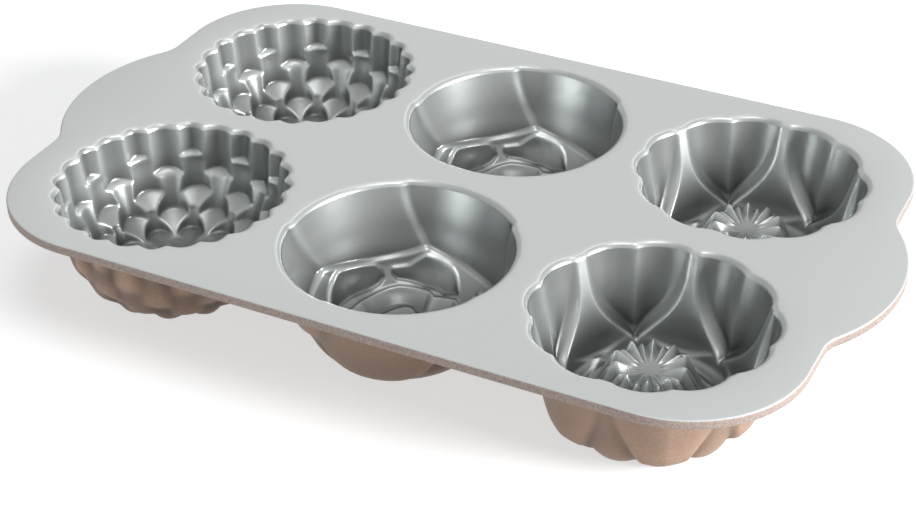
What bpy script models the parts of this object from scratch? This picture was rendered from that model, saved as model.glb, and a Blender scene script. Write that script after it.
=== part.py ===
"""A six-cup cakelet pan: a flat deck with two handle lobes, and six flower cups set in its round seats.

Metres, +Z up. The origin is under the middle of the pan, at the height of the cups' lowest points.
X runs along the pan, from the dahlia cups at -X past the rose cups to the lotus cups at +X.
"""

import math

import bmesh
import bpy
import numpy as np

# Driving sizes of the pan
PAN_HEIGHT = 0.052
CUP_WEB = 0.00232
ROW_WEB = 0.00512

# Driving sizes of the deck, whose length and width follow the seats, their webs and the rims outside
END_RIM = 0.01291
SIDE_RIM = 0.00796
DECK_THICKNESS = 0.0045
DECK_CORNER_RADIUS = 0.0525
DECK_EDGE_ROUND = 0.0009
HANDLE_REACH = 0.016
HANDLE_RADIUS = 0.0744
HANDLE_FILLET_RADIUS = 0.017
CORNER_STEPS = 10
HANDLE_STEPS = 8
FILLET_STEPS = 4

# Seats: a round hole in the deck for each cup's flange
SEAT_MARGIN = 0.0009
SEAT_STEPS = 48
CLEARANCE = 0.0003
CUT_OVERRUN = 0.002

# Sizes shared by the cups
CUP_WALL = 0.004
LIP_RADIUS = 0.003
LIP_STEPS = 2
ROOT_STEP = 0.0005
POLE_FADE_RADIUS = 0.012
RIM_FADE_RUN = 0.008
SECTION_SAMPLES = 600
EASING_PASSES = 600
SHARP_DEGREES = 50.0
MERGE_DISTANCE = 0.00003

# Dahlia cup: twelve petals in each row, every row turned half a petal from the last
DAHLIA_MOUTH_RADIUS = 0.0502
DAHLIA_SECTION_SHARES = (
    (1.0, 0.0), (0.98, 0.222), (0.932, 0.422), (0.849, 0.622), (0.747, 0.789), (0.627, 0.907),
    (0.458, 0.964), (0.239, 0.989), (0.0, 0.998),
)
DAHLIA_CORE_SHARES = (
    (1.044, 0.033), (1.02, 0.267), (0.972, 0.478), (0.888, 0.68), (0.793, 0.849), (0.673, 0.987),
    (0.488, 1.06), (0.239, 1.084), (0.0, 1.089),
)
DAHLIA_PETALS = 12
DAHLIA_TURN_DEGREES = 143.6
# For each row, of the mouth's radius: its peak's radius, its wall top's radius and its wall's fall at the
# sides, then of the cup's depth: its peak's depth and its tread's drop
DAHLIA_ROW_SHARES = (
    (1.0, 1.2, 0.056, 0.271, 0.092),
    (0.982, 1.2, 0.088, 0.4375, 0.1),
    (0.88, 0.948, 0.1235, 0.623, 0.26),
    (0.781, 0.928, 0.179, 0.8, 0.1625),
    (0.657, 0.737, 0.179, 0.9375, 0.05),
    (0.468, 0.518, 0.159, 0.971, 0.025),
)
# For each row: its petals' half width, its wall's slope, its tread's slope and its turn
DAHLIA_ROW_DEGREES = (
    (7.6, 84.0, 48.0, 0.0),
    (10.6, 85.0, 48.0, 0.0),
    (13.8, 77.0, 46.0, -2.4),
    (14.8, 66.0, 27.0, -1.2),
    (15.0, 60.0, 8.0, 0.0),
    (15.2, 50.0, 5.0, 0.0),
)
DAHLIA_FALL_POWERS = (1.5, 1.6, 1.8, 2.0, 2.0, 2.0)
DAHLIA_CREASE_SHARE = 0.012
DAHLIA_CROWN = 0.0014
DAHLIA_WALL = 0.002
DAHLIA_FLOOR = 0.0033
DAHLIA_BLEND = 0.0003
DAHLIA_UNDER_BLEND = 0.0005
DAHLIA_TREAD_RUN = 0.004
DAHLIA_LEAST_STEP = 0.0007
DAHLIA_TREADS = 4
DAHLIA_COLUMNS = 4
DAHLIA_POLE_SHARE = 0.87
LEAST_NORMAL_SHARE = 0.1

# Rose cup: rows of five petals wound round the middle, the outer ones lapping one another
ROSE_MOUTH_RADIUS = 0.0492
ROSE_SECTION_SHARES = ((1.0, 0.0), (0.885, 0.44), (0.775, 0.725), (0.61, 0.92), (0.31, 0.99), (0.0, 1.0))
ROSE_PETALS = 5
ROSE_TURN_DEGREES = 46.0
ROSE_TWIST_DEGREES = 46.0
ROSE_LAP_SHARES = (1.0, -1.0, 1.0, 0.0, -1.0)
ROSE_LAP = 0.0008
ROSE_PETAL_STEP = 0.003
ROSE_SEAT_BACK = 0.0016
ROSE_LEDGE_EASE = 0.0005
ROSE_BLEND = 0.0002
ROSE_EDGE_SHARE = 0.51
ROSE_EDGE_DROP_SHARE = 0.112
ROSE_OUTER_RISE = 0.05
ROSE_INNER_RISE = 0.24
ROSE_LEDGE_SLOPE = 1.9
ROSE_EDGE_POWER = 2.2
ROSE_SIDE_ROUND = 0.001
ROSE_ROW_TIP_SHARES = (0.675, 0.815, 0.92)
ROSE_ROW_DROP_SHARES = (0.119, 0.093, 0.066)
ROSE_ROW_HALF_DEGREES = (34.0, 38.0, 58.0)
ROSE_ROW_AT_DEGREES = (97.0, 132.0, 100.0)
ROSE_ROW_PETALS = (5, 5, 3)
ROSE_ROW_STEP_SHARES = (1.0, 0.93, 0.8)
ROSE_ROW_WIND = 91.0
ROSE_COLUMN_SHARES = (0.02, 0.15, 0.29, 0.43, 0.57, 0.71, 0.85, 0.98)
ROSE_LEDGE_SPAN = 0.0024
ROSE_FLOOR_SHARES = (0.75, 0.80, 0.84, 0.91)
ROSE_FLOOR_UNDER_SHARES = (0.78, 0.90)

# Lotus cup: six creased outer petals, six inner ones between them and six below, round a star
LOTUS_MOUTH_RADIUS = 0.0487
LOTUS_SECTION_SHARES = (
    (1.0, 0.0), (0.80, 0.80), (0.74, 0.933), (0.636, 1.0), (0.554, 0.989),
    (0.349, 0.578), (0.297, 0.502), (0.257, 0.52), (0.10, 0.573), (0.0, 0.578),
)
LOTUS_CORE_SHARES = (
    (1.0, 0.0), (0.80, 0.80), (0.735, 0.96), (0.625, 1.05), (0.45, 0.96), (0.25, 0.78), (0.0, 0.72),
)
LOTUS_PETALS = 6
LOTUS_TIP_SHARE = 0.447
LOTUS_EDGE_DEGREES = 26.5
LOTUS_LEAST_EDGE_DEGREES = 3.0
LOTUS_CREASE = 0.0022
LOTUS_OUTER_SET = 0.0014
LOTUS_OUTER_GROWTH = 0.0058
LOTUS_BAND_SLOPE = 1.6
LOTUS_BAND_WIDTH = 0.0026
LOTUS_INNER_SET = -0.0012
LOTUS_INNER_ROUND = 0.0004
LOTUS_INNER_TIP_SHARE = 0.467
LOTUS_INNER_DROP_SHARE = 0.064
LOTUS_LOW_SET = -0.0016
LOTUS_LOW_ROUND = 0.002
LOTUS_LOW_TIP_SHARE = 0.537
LOTUS_FLOOR_SET = -0.0034
LOTUS_FLOOR_EASE_SHARE = 0.097
LOTUS_LEDGE_EASE = 0.0006
LOTUS_INNER_SLOPE = 1.5
LOTUS_LOW_SLOPE = 1.2
LOTUS_EASING_PASSES = 120
LOTUS_BLEND = 0.0002
LOTUS_INNER_RING_SHARES = (0.0, 0.16, 0.30, 0.39, 0.447, 0.475, 0.53, 0.60)
LOTUS_STAR_RING_SHARES = (0.69, 0.80, 0.835, 0.94)
LOTUS_UNDERSIDE_SHARES = (0.16, 0.30, 0.40, 0.447, 0.475, 0.54, 0.61, 0.72)
LOTUS_COLUMNS = 10

# Star in the middle of the lotus cup
STAR_TEETH = 10
STAR_TURN_DEGREES = 35.0
STAR_RADIUS = 0.0155
STAR_HUB_RADIUS = 0.004
STAR_SKIRT = 0.013
STAR_TOOTH = 0.0044
STAR_PLEAT = 0.0018
STAR_SET = -0.002
STAR_TOOTH_DEGREES = 11.0
STAR_PLEAT_DEGREES = 7.0

# Colours
RELEASE_GREY = (0.58, 0.60, 0.59, 1.0)
RELEASE_ROUGHNESS = 0.42
RELEASE_METALLIC = 0.7

# Worked out from the sizes above
CUP_DEPTH = PAN_HEIGHT - CUP_WALL
DECK_TOP = PAN_HEIGHT
DECK_UNDERSIDE = DECK_TOP - DECK_THICKNESS


def wrap(angle, pitch):
    """Angle from the nearest of the marks that stand a pitch apart."""
    return (angle + pitch / 2) % pitch - pitch / 2


def ledge(above, ease):
    """Nothing above a petal's tip, and one for one below it, with an eased corner."""
    return ease * np.logaddexp(0.0, -above / ease)


def union(rows, blend):
    """The deepest of several petals at each place, with their meeting edges eased."""
    return blend * np.logaddexp.reduce(np.stack(rows) / blend, axis=0)


def least(layers, blend):
    """The shallowest of several surfaces at each place, with their meeting edges eased."""
    return -union([-layer for layer in layers], blend)


class Section:
    """Half section of a cup, from the top of its wall to the middle of its floor."""

    def __init__(self, shares, mouth_radius, easing):
        points = np.array(shares)
        radius = points[:, 0] * mouth_radius
        height = -LIP_RADIUS - points[:, 1] * (CUP_DEPTH - LIP_RADIUS)
        along = np.concatenate(([0.0], np.cumsum(np.hypot(np.diff(radius), np.diff(height)))))
        even = np.linspace(0.0, along[-1], SECTION_SAMPLES)
        radius = np.interp(even, along, radius)
        height = np.interp(even, along, height)
        for _ in range(easing):
            radius[1:-1] = (radius[:-2] + 2 * radius[1:-1] + radius[2:]) / 4
            height[1:-1] = (height[:-2] + 2 * height[1:-1] + height[2:]) / 4
        self.run = np.concatenate(([0.0], np.cumsum(np.hypot(np.diff(radius), np.diff(height)))))
        self.length = self.run[-1]
        self.radius = radius
        self.height = height
        self.out = -np.gradient(height, self.run)
        self.down = np.gradient(radius, self.run)

    def place(self, run, push):
        """Radius and height of the points that lie along the section and are pushed into the metal."""
        tilt = np.clip(run / RIM_FADE_RUN, 0.0, 1.0)
        radius = np.interp(run, self.run, self.radius) + push * np.interp(run, self.run, self.out)
        height = np.interp(run, self.run, self.height) + push * tilt * np.interp(run, self.run, self.down)
        return radius, height

    def radius_at(self, run):
        return np.interp(run, self.run, self.radius)

    def at(self, run):
        """Radius, depth below the deck's top, and the normal's outward and downward parts at each run."""
        curves = (self.radius, -self.height, self.out, -self.down)
        return tuple(np.interp(run, self.run, curve) for curve in curves)

    def nearest_run(self, radius, depth):
        """The run at which the section has the same depth less radius, which grows all along it."""
        return np.interp(depth - radius, -self.height - self.radius, self.run)


def dahlia_across(number, degrees):
    """How far each angle is from the middle of its petal, in half widths."""
    pitch = 360.0 / DAHLIA_PETALS
    half, _, _, turn = DAHLIA_ROW_DEGREES[number]
    middle = DAHLIA_TURN_DEGREES + turn + pitch / 2 * (number % 2)
    return np.sqrt((wrap(degrees - middle, pitch) / half) ** 2 + DAHLIA_CREASE_SHARE)


def dahlia_push(degrees, run, section, wall, floor, blend):
    """Distance from the section to the deepest petal.

    A petal is the least of its wall, its tread and its foot. The wall stands at its peak's radius less a
    rounded V over the angle and leans in with depth, from its top's radius. The tread slopes down to the
    middle and rises to the petal's sides. The foot is level. Wall and floor set the petal out and down.
    """
    radius, depth, out, down = section.at(run)
    petals = []
    for number, (peak, top, fall, deep, drop) in enumerate(DAHLIA_ROW_SHARES):
        _, wall_degrees, tread_degrees, _ = DAHLIA_ROW_DEGREES[number]
        lean = 1.0 / math.tan(math.radians(wall_degrees))
        slope = math.tan(math.radians(tread_degrees))
        across = dahlia_across(number, degrees)
        peak_radius = peak * DAHLIA_MOUTH_RADIUS + wall
        peak_depth = deep * CUP_DEPTH + floor
        fallen = fall * DAHLIA_MOUTH_RADIUS * across ** DAHLIA_FALL_POWERS[number]
        leaning = (peak_radius - fallen - radius - (depth - peak_depth) * lean) / (out + down * lean)
        upper = (top * DAHLIA_MOUTH_RADIUS + wall - fallen - radius) / np.maximum(out, LEAST_NORMAL_SHARE)
        tread = peak_depth - DAHLIA_CROWN * across**2 + (peak_radius - radius) * slope - depth
        foot = (peak_depth + drop * CUP_DEPTH - depth) / np.maximum(down, LEAST_NORMAL_SHARE)
        petals.append(least([leaning, upper, tread / (down + out * slope), foot], blend))
    return union(petals, blend)


def dahlia_runs(degrees, section, wall, floor):
    """Rings that follow the rows, along the top of each tread and along its foot, in order down the cup."""
    runs = []
    for number, (peak, _, fall, deep, _) in enumerate(DAHLIA_ROW_SHARES):
        slope = math.tan(math.radians(DAHLIA_ROW_DEGREES[number][2]))
        across = np.minimum(dahlia_across(number, degrees), 1.0)
        fallen = fall * DAHLIA_MOUTH_RADIUS * across ** DAHLIA_FALL_POWERS[number]
        rim_depth = deep * CUP_DEPTH + floor + fallen * slope - DAHLIA_CROWN * across**2
        rim = section.nearest_run(peak * DAHLIA_MOUTH_RADIUS + wall - fallen, rim_depth)
        runs.append(rim)
        if number < DAHLIA_TREADS:
            runs.append(rim + DAHLIA_TREAD_RUN)
    least_steps = DAHLIA_LEAST_STEP * np.arange(len(runs))[:, None]
    return np.maximum.accumulate(np.sort(runs, axis=0) - least_steps, axis=0) + least_steps


def rose_edge(across, section):
    """How far down the outer petals reach: lowest in their middle, highest at the laps."""
    return section.length * (ROSE_EDGE_SHARE - ROSE_EDGE_DROP_SHARE * np.abs(across) ** ROSE_EDGE_POWER)


def rose_relief(degrees, run, section):
    """Five lapping outer petals, then rows of inner petals wound towards the middle."""
    pitch = 360.0 / ROSE_PETALS
    share = run / section.length
    turned = degrees - ROSE_TURN_DEGREES + ROSE_TWIST_DEGREES * share
    number = np.floor((turned % 360.0) / pitch).astype(int) % ROSE_PETALS
    across = ((turned % pitch) - pitch / 2) / (pitch / 2)
    above = rose_edge(across, section) - run
    lap = ROSE_LAP * np.array(ROSE_LAP_SHARES)[number]
    outer = ROSE_PETAL_STEP + lap - ROSE_OUTER_RISE * np.maximum(above, 0.0)
    rows = [outer - ROSE_LEDGE_SLOPE * ledge(above, ROSE_LEDGE_EASE) - ROSE_SIDE_ROUND / 2 * across**4]
    table = zip(
        ROSE_ROW_TIP_SHARES, ROSE_ROW_DROP_SHARES, ROSE_ROW_HALF_DEGREES,
        ROSE_ROW_AT_DEGREES, ROSE_ROW_PETALS, ROSE_ROW_STEP_SHARES,
    )
    for tip, drop, half, at, petals, step in table:
        wound = degrees - at + ROSE_ROW_WIND * (share - tip)
        across = np.abs(wrap(wound, 360.0 / petals)) / half
        above = section.length * (tip - drop * across**2) - run
        trough = step * ROSE_PETAL_STEP - ROSE_INNER_RISE * np.maximum(above, 0.0)
        rows.append(trough - ROSE_LEDGE_SLOPE * ledge(above, ROSE_LEDGE_EASE) - ROSE_SIDE_ROUND * across**4)
    return union(rows, ROSE_BLEND) - ROSE_SEAT_BACK


def lotus_edge(share):
    """Half width of an outer petal in degrees, closing in a curve to its tip."""
    closing = np.clip(share / LOTUS_TIP_SHARE, 0.0, 1.0)
    return LOTUS_EDGE_DEGREES * (1.0 - closing**3)


def lotus_relief(degrees, run, section):
    """Creased outer petals over inner ones, over low ones, with an even floor under the star."""
    pitch = 360.0 / LOTUS_PETALS
    share = run / section.length
    offset = np.abs(wrap(degrees, pitch))
    edge = lotus_edge(share)
    lobe = (offset - edge / 2) / np.maximum(edge / 2, LOTUS_LEAST_EDGE_DEGREES / 2)
    beyond = np.radians(np.maximum(offset - edge, 0.0)) * section.radius_at(run)
    beyond = beyond + np.maximum(share - LOTUS_TIP_SHARE, 0.0) * section.length
    crease = LOTUS_CREASE * (1.0 - share)
    outer = LOTUS_OUTER_SET + LOTUS_OUTER_GROWTH * share - crease * np.clip(lobe, -1.0, 1.0) ** 2
    rows = [outer - LOTUS_BAND_SLOPE * beyond]
    across = np.abs(wrap(degrees - pitch / 2, pitch)) / (pitch / 2)
    above = section.length * (LOTUS_INNER_TIP_SHARE - LOTUS_INNER_DROP_SHARE * across**2) - run
    inner = LOTUS_INNER_SET - LOTUS_INNER_ROUND * across**2
    rows.append(inner - LOTUS_INNER_SLOPE * ledge(above, LOTUS_LEDGE_EASE))
    across = offset / (pitch / 2)
    above = section.length * LOTUS_LOW_TIP_SHARE - run
    low = LOTUS_LOW_SET - LOTUS_LOW_ROUND * across**2
    rows.append(low - LOTUS_LOW_SLOPE * ledge(above, LOTUS_LEDGE_EASE))
    rows.append(np.full_like(rows[0], LOTUS_FLOOR_SET))
    level = np.clip((share - LOTUS_INNER_TIP_SHARE) / LOTUS_FLOOR_EASE_SHARE, 0.0, 1.0)
    return union(rows, LOTUS_BLEND) - LOTUS_FLOOR_SET * level


def star_height(degrees, radius):
    """What the star adds to the floor: long teeth, small pleats between them and a smooth hub."""
    pitch = 360.0 / STAR_TEETH
    tooth = np.maximum(1.0 - np.abs(wrap(degrees - STAR_TURN_DEGREES, pitch)) / STAR_TOOTH_DEGREES, 0.0)
    half_turned = degrees - STAR_TURN_DEGREES - pitch / 2
    pleat = np.maximum(1.0 - np.abs(wrap(half_turned, pitch)) / STAR_PLEAT_DEGREES, 0.0)
    grow = np.clip((radius - STAR_HUB_RADIUS) / (STAR_RADIUS - STAR_HUB_RADIUS), 0.0, 1.0)
    skirt = np.clip(1.0 - (radius - STAR_RADIUS) / STAR_SKIRT, 0.0, 1.0)
    return (STAR_TOOTH * tooth + STAR_PLEAT * pleat + STAR_SET) * grow * skirt


def even_out(relief, radius):
    """Let the relief settle to its mean near the middle of the floor."""
    keep = np.clip(radius / POLE_FADE_RADIUS, 0.0, 1.0)
    mean = np.mean(relief, axis=1, keepdims=True)
    return relief * keep + mean * (1.0 - keep)


def stations(shares, columns, section):
    """Rings at fixed shares of the section's length, the same at every column."""
    return np.outer(np.array(shares) * section.length, np.ones(columns))


def rose_columns(run, section):
    """Columns that follow the laps as they wind down the wall."""
    pitch = 360.0 / ROSE_PETALS
    shares = np.array(ROSE_COLUMN_SHARES)
    degrees = np.concatenate([ROSE_TURN_DEGREES + pitch * (petal + shares) for petal in range(ROSE_PETALS)])
    twist = ROSE_TWIST_DEGREES * np.minimum(run / section.length, ROSE_EDGE_SHARE)
    return degrees - twist


def lotus_columns(run, section):
    """Columns on each crease, on both sides of the petals' edges and between the petals."""
    pitch = 360.0 / LOTUS_PETALS
    edge = np.maximum(lotus_edge(run[:, :1] / section.length), LOTUS_LEAST_EDGE_DEGREES)
    band = np.degrees(LOTUS_BAND_WIDTH / section.radius_at(run[:, :1]))
    outside = np.minimum(edge + band, (edge + pitch / 2) / 2)
    middle = np.full_like(edge, pitch / 2)
    between = (outside + middle) / 2
    half = np.hstack([edge / 2, edge, outside, between])
    sector = np.hstack([np.zeros_like(edge), half, middle, pitch - half[:, ::-1]])
    return np.hstack([sector + pitch * petal for petal in range(LOTUS_PETALS)])


def star_columns(run):
    """Even columns, turned so that one of them runs along each tooth."""
    step = 360.0 / (LOTUS_PETALS * LOTUS_COLUMNS)
    degrees = step * np.arange(LOTUS_PETALS * LOTUS_COLUMNS) + wrap(STAR_TURN_DEGREES, step)
    return np.tile(degrees, (len(run), 1))


def dahlia_rings():
    """The cup's inside and outside, with a column along each petal's middle, its sides and halfway."""
    section = Section(DAHLIA_SECTION_SHARES, DAHLIA_MOUTH_RADIUS, EASING_PASSES)
    core = Section(DAHLIA_CORE_SHARES, DAHLIA_MOUTH_RADIUS, EASING_PASSES)
    columns = DAHLIA_COLUMNS * DAHLIA_PETALS
    degrees = DAHLIA_TURN_DEGREES + 360.0 / columns * np.arange(columns)
    inner = dahlia_runs(degrees, section, 0.0, 0.0)
    inner = np.vstack([0.0 * degrees, inner[0] / 2, inner, stations((DAHLIA_POLE_SHARE,), columns, section)])
    outer = dahlia_runs(degrees, core, DAHLIA_WALL, DAHLIA_FLOOR)[1:]
    push_in = dahlia_push(degrees, inner, section, 0.0, 0.0, DAHLIA_BLEND)
    push_out = dahlia_push(degrees, outer, core, DAHLIA_WALL, DAHLIA_FLOOR, DAHLIA_UNDER_BLEND)
    inside = (section, inner, np.tile(degrees, (len(inner), 1)), push_in)
    outside = (core, outer, np.tile(degrees, (len(outer), 1)), push_out)
    return flat_foot(cup_rings(inside, outside, DAHLIA_WALL))


def rose_rings():
    section = Section(ROSE_SECTION_SHARES, ROSE_MOUTH_RADIUS, EASING_PASSES)
    columns = ROSE_PETALS * len(ROSE_COLUMN_SHARES)
    across = np.tile(2.0 * np.array(ROSE_COLUMN_SHARES) - 1.0, ROSE_PETALS)
    edge = rose_edge(across, section)
    first = section.length * ROSE_ROW_TIP_SHARES[0] + 0.0 * edge
    edges = [edge - ROSE_LEDGE_SPAN / 4, edge + ROSE_LEDGE_SPAN, (edge + first) / 2]
    edges += [first - ROSE_LEDGE_SPAN / 2, first + ROSE_LEDGE_SPAN / 2]
    floor_in = stations(ROSE_FLOOR_SHARES, columns, section)
    floor_out = stations(ROSE_FLOOR_UNDER_SHARES, columns, section)
    inner = np.vstack([0.0 * edge, edge / 2] + edges + [floor_in])
    outer = np.vstack([edge / 2] + edges + [floor_out])
    columns_in, columns_out = rose_columns(inner, section), rose_columns(outer, section)
    inside = (section, inner, columns_in, rose_relief(columns_in, inner, section))
    outside = (section, outer, columns_out, rose_relief(columns_out, outer, section) + CUP_WALL)
    return flat_foot(cup_rings(inside, outside, CUP_WALL))


def lotus_rings():
    section = Section(LOTUS_SECTION_SHARES, LOTUS_MOUTH_RADIUS, LOTUS_EASING_PASSES)
    core = Section(LOTUS_CORE_SHARES, LOTUS_MOUTH_RADIUS, EASING_PASSES)
    columns = LOTUS_PETALS * LOTUS_COLUMNS
    petals = stations(LOTUS_INNER_RING_SHARES, columns, section)
    star = stations(LOTUS_STAR_RING_SHARES, columns, section)
    inner = np.vstack([petals, star])
    outer = stations(LOTUS_UNDERSIDE_SHARES, columns, section)
    columns_in = np.vstack([lotus_columns(petals, section), star_columns(star)])
    columns_out = lotus_columns(outer, section)
    inside = (section, inner, columns_in, lotus_relief(columns_in, inner, section))
    outside = (core, outer, columns_out, lotus_relief(columns_out, outer, section) + CUP_WALL)
    return add_star(cup_rings(inside, outside, CUP_WALL), len(LOTUS_STAR_RING_SHARES) + 1)


def cup_rings(inside, outside, wall):
    """Rings of points from the middle of the floor up the inside, over the lip and down the outside.

    Each side is a section with the runs, angles and pushes of its rings. Each ring is an array of angles,
    radii and heights. The first and last ring are single points.
    """
    section, inner, columns_in, push_in = inside
    core, outer, columns_out, push_out = outside
    radius_in, height_in = section.place(inner, even_out(push_in, section.radius_at(inner)))
    radius_out, height_out = core.place(outer, even_out(push_out, core.radius_at(outer)))
    flange = radius_in[0].max() + LIP_RADIUS + SEAT_MARGIN
    top = columns_in[0]
    rings = [(top, 0 * top, 0 * top + height_in[-1].mean())]
    for number in reversed(range(len(inner))):
        rings.append((columns_in[number], radius_in[number], height_in[number]))
    for step in range(1, LIP_STEPS + 1):
        turn = math.pi / 2 * step / LIP_STEPS
        lip = radius_in[0] + LIP_RADIUS * (1.0 - math.cos(turn))
        rings.append((top, lip, 0 * top - LIP_RADIUS * (1.0 - math.sin(turn))))
    rings.append((top, 0 * top + flange, 0 * top))
    rings.append((top, 0 * top + flange, 0 * top - DECK_THICKNESS))
    rings.append((top, np.minimum(radius_in[0] + wall, flange - ROOT_STEP), 0 * top - DECK_THICKNESS))
    for number in range(len(outer)):
        height = np.maximum(height_out[number], -PAN_HEIGHT)
        rings.append((columns_out[number], radius_out[number], height))
    rings.append((top, 0 * top, 0 * top + height_out[-1].mean()))
    return rings, flange


def flat_foot(cup):
    """Bring the outside's last ring and its middle to the rest plane, so that the cup stands flat."""
    rings, flange = cup
    for number in (-2, -1):
        degrees, radius, height = rings[number]
        rings[number] = (degrees, radius, 0.0 * height - PAN_HEIGHT)
    return rings, flange


def add_star(cup, count):
    """Raise the rings of the lotus floor into the star."""
    rings, flange = cup
    raised = list(rings)
    for number in range(count):
        degrees, radius, height = rings[number]
        raised[number] = (degrees, radius, height + star_height(degrees, radius))
    return raised, flange


def new_material(name, colour, roughness, metallic):
    material = bpy.data.materials.new(name)
    material.use_nodes = True
    shader = material.node_tree.nodes["Principled BSDF"]
    shader.inputs["Base Color"].default_value = colour
    shader.inputs["Roughness"].default_value = roughness
    shader.inputs["Metallic"].default_value = metallic
    return material


def build_cup(name, cup, x, y, collection):
    """Wrap a sphere's rings and columns over the cup's inside, lip, flange and outside."""
    rings, _ = cup
    columns = len(rings[0][0])
    bm = bmesh.new()
    bmesh.ops.create_uvsphere(bm, u_segments=columns, v_segments=len(rings) - 1, radius=PAN_HEIGHT)
    for vert in bm.verts:
        polar = math.acos(max(-1.0, min(1.0, vert.co.z / PAN_HEIGHT)))
        ring = round(polar / math.pi * (len(rings) - 1))
        column = round(math.degrees(math.atan2(vert.co.y, vert.co.x)) / 360.0 * columns) % columns
        degrees, radius, height = rings[ring]
        angle = math.radians(degrees[column])
        vert.co = (radius[column] * math.cos(angle), radius[column] * math.sin(angle), height[column])
    bmesh.ops.triangulate(bm, faces=bm.faces, quad_method="SHORT_EDGE")
    mesh = bpy.data.meshes.new(name)
    bm.to_mesh(mesh)
    bm.free()
    cup_object = bpy.data.objects.new(name, mesh)
    cup_object.location = (x, y, DECK_TOP)
    collection.objects.link(cup_object)
    mesh.materials.append(new_material(name + "_finish", RELEASE_GREY, RELEASE_ROUGHNESS, RELEASE_METALLIC))
    mesh.shade_smooth()
    mesh.set_sharp_from_angle(angle=math.radians(SHARP_DEGREES))
    return cup_object


def arc(centre_x, centre_y, radius, start, end, steps):
    """Points along an arc, from its start angle to its end angle in radians."""
    points = []
    for step in range(steps + 1):
        angle = start + (end - start) * step / steps
        points.append((centre_x + radius * math.cos(angle), centre_y + radius * math.sin(angle)))
    return points


def deck_outline(half_length, half_width):
    """One quarter of the deck's edge, from the tip of a handle to the long side, then its mirrors."""
    handle_x = half_length + HANDLE_REACH - HANDLE_RADIUS
    fillet_x = half_length + HANDLE_FILLET_RADIUS
    fillet_y = math.sqrt((HANDLE_RADIUS + HANDLE_FILLET_RADIUS) ** 2 - (fillet_x - handle_x) ** 2)
    turn = math.atan2(fillet_y, fillet_x - handle_x)
    corner_x = half_length - DECK_CORNER_RADIUS
    corner_y = half_width - DECK_CORNER_RADIUS
    quarter = arc(handle_x, 0.0, HANDLE_RADIUS, 0.0, turn, HANDLE_STEPS)
    quarter += arc(fillet_x, fillet_y, HANDLE_FILLET_RADIUS, math.pi + turn, math.pi, FILLET_STEPS)[1:]
    quarter += arc(corner_x, corner_y, DECK_CORNER_RADIUS, 0.0, math.pi / 2, CORNER_STEPS)
    left = [(-x, y) for x, y in reversed(quarter)]
    below = [(x, -y) for x, y in reversed(quarter + left[:-1])]
    return quarter + left + below[:-1]


def build_seat_cutter(name, radius, x, y, collection):
    """A round cutter whose flats clear the seat's radius."""
    bpy.ops.mesh.primitive_cylinder_add(
        vertices=SEAT_STEPS, radius=radius / math.cos(math.pi / SEAT_STEPS),
        depth=DECK_THICKNESS + 2 * CUT_OVERRUN, location=(x, y, DECK_TOP - DECK_THICKNESS / 2),
    )
    cutter = bpy.context.object
    cutter.name = name
    cutter.hide_render = True
    cutter.display_type = "WIRE"
    for owner in list(cutter.users_collection):
        owner.objects.unlink(cutter)
    collection.objects.link(cutter)
    return cutter


def build_deck(half_length, half_width, cutters, collection):
    """The flat deck with its handle lobes, rounded edge and one seat for each cup."""
    curve = bpy.data.curves.new("deck_outline", "CURVE")
    curve.dimensions = "2D"
    curve.fill_mode = "BOTH"
    curve.extrude = DECK_THICKNESS / 2 - DECK_EDGE_ROUND
    curve.bevel_depth = DECK_EDGE_ROUND
    curve.bevel_resolution = 1
    curve.offset = -DECK_EDGE_ROUND
    points = deck_outline(half_length, half_width)
    spline = curve.splines.new("POLY")
    spline.points.add(len(points) - 1)
    for point, (x, y) in zip(spline.points, points):
        point.co = (x, y, 0.0, 1.0)
    spline.use_cyclic_u = True
    outline = bpy.data.objects.new("deck_outline", curve)
    collection.objects.link(outline)
    bpy.context.view_layer.update()
    evaluated = outline.evaluated_get(bpy.context.evaluated_depsgraph_get())
    mesh = bpy.data.meshes.new_from_object(evaluated)
    bm = bmesh.new()
    bm.from_mesh(mesh)
    bmesh.ops.remove_doubles(bm, verts=bm.verts, dist=MERGE_DISTANCE)
    bmesh.ops.recalc_face_normals(bm, faces=bm.faces)
    bm.to_mesh(mesh)
    bm.free()
    bpy.data.objects.remove(outline)
    deck = bpy.data.objects.new("deck_plate", mesh)
    deck.location = (0.0, 0.0, DECK_TOP - DECK_THICKNESS / 2)
    collection.objects.link(deck)
    mesh.materials.clear()
    mesh.materials.append(new_material("deck_finish", RELEASE_GREY, RELEASE_ROUGHNESS, RELEASE_METALLIC))
    mesh.shade_smooth()
    mesh.set_sharp_from_angle(angle=math.radians(SHARP_DEGREES))
    for cutter in cutters:
        cut = deck.modifiers.new("seat", "BOOLEAN")
        cut.operation = "DIFFERENCE"
        cut.solver = "EXACT"
        cut.object = cutter
    return deck


def new_collection(name):
    collection = bpy.data.collections.new(name)
    bpy.context.scene.collection.children.link(collection)
    return collection


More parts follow.
